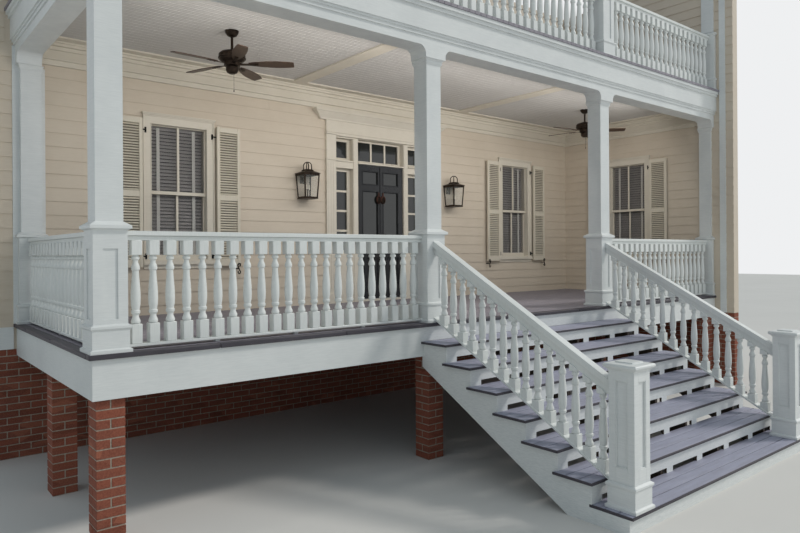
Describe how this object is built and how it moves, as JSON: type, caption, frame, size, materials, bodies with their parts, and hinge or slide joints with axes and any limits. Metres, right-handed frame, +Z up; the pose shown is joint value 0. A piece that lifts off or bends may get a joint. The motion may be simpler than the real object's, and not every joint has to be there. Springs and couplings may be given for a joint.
{
  "type": "front porch",
  "caption": "Raised timber front porch with square columns, turned balustrades, slotted steps, a glazed double door and a railed balcony roof.",
  "frame": {"origin": "middle of the footprint on the ground, under the lowest face of the porch", "axes": "+X to the right along the front, +Y back towards the house, +Z up"},
  "size_m": [10.21, 5.506, 6.819],
  "materials": {
    "brick": "matt",
    "frame_timber": "rough sawn",
    "floor_paint": "satin paint",
    "white_paint": "satin paint",
    "ceiling_paint": "satin paint",
    "cream_paint": "satin paint",
    "blind_slats": "satin",
    "glass": "clear",
    "black_paint": "gloss paint",
    "bronze": "dark oiled",
    "blade_wood": "satin"
  },
  "bodies": {
    "porch": {"brick_foundation": "brick", "floor_rim": "frame_timber", "floor_joists": "frame_timber", "porch_floor": "floor_paint", "skirt_boards": "white_paint", "stair_stringers": "white_paint", "stair_risers": "white_paint", "stair_treads": "floor_paint", "newel_posts": "white_paint", "stair_rails": "white_paint", "porch_columns": "white_paint", "porch_balustrades": "white_paint", "front_beam": "white_paint", "side_beam": "white_paint", "balcony_fascia": "white_paint", "porch_ceiling": "ceiling_paint", "ceiling_boards": "cream_paint", "wall_cornice": "cream_paint", "balcony_floor": "floor_paint", "balcony_posts": "white_paint", "balcony_balustrades": "white_paint", "back_wall_left": "cream_paint", "back_wall_right": "cream_paint", "back_wall_over_door": "cream_paint", "right_wall": "cream_paint", "left_wall": "cream_paint", "corner_boards": "white_paint", "window_frames": "cream_paint", "window_glass": "glass", "window_blinds": "blind_slats", "shutters": "cream_paint", "door_surround": "cream_paint", "door_surround_glass": "glass", "wall_lanterns": "bronze", "lantern_glass": "glass", "fan_mounts": "bronze"},
    "door_left": {"door_leaf_left": "black_paint", "door_glass_left": "glass", "door_knob_left": "bronze"},
    "door_right": {"door_leaf_right": "black_paint", "door_glass_right": "glass", "door_knob_right": "bronze"},
    "fan_left": {"fan_rotor_left": "bronze", "fan_blades_left": "blade_wood"},
    "fan_right": {"fan_rotor_right": "bronze", "fan_blades_right": "blade_wood"}
  },
  "joints": [
    {"name": "door_left_hinge", "type": "hinge", "parent": "porch", "child": "door_left", "pos_m": [-0.142, 2.679, 1.481], "axis": [0, 0, 1], "range_deg": [0, 90]},
    {"name": "door_right_hinge", "type": "hinge", "parent": "porch", "child": "door_right", "pos_m": [0.736, 2.679, 1.481], "axis": [0, 0, -1], "range_deg": [0, 90]},
    {"name": "fan_left_spin", "type": "hinge", "parent": "porch", "child": "fan_left", "pos_m": [-2.895, 1.075, 4.222], "axis": [0, 0, 1], "continuous": true},
    {"name": "fan_right_spin", "type": "hinge", "parent": "porch", "child": "fan_right", "pos_m": [3.435, 1.075, 4.222], "axis": [0, 0, 1], "continuous": true}
  ]
}
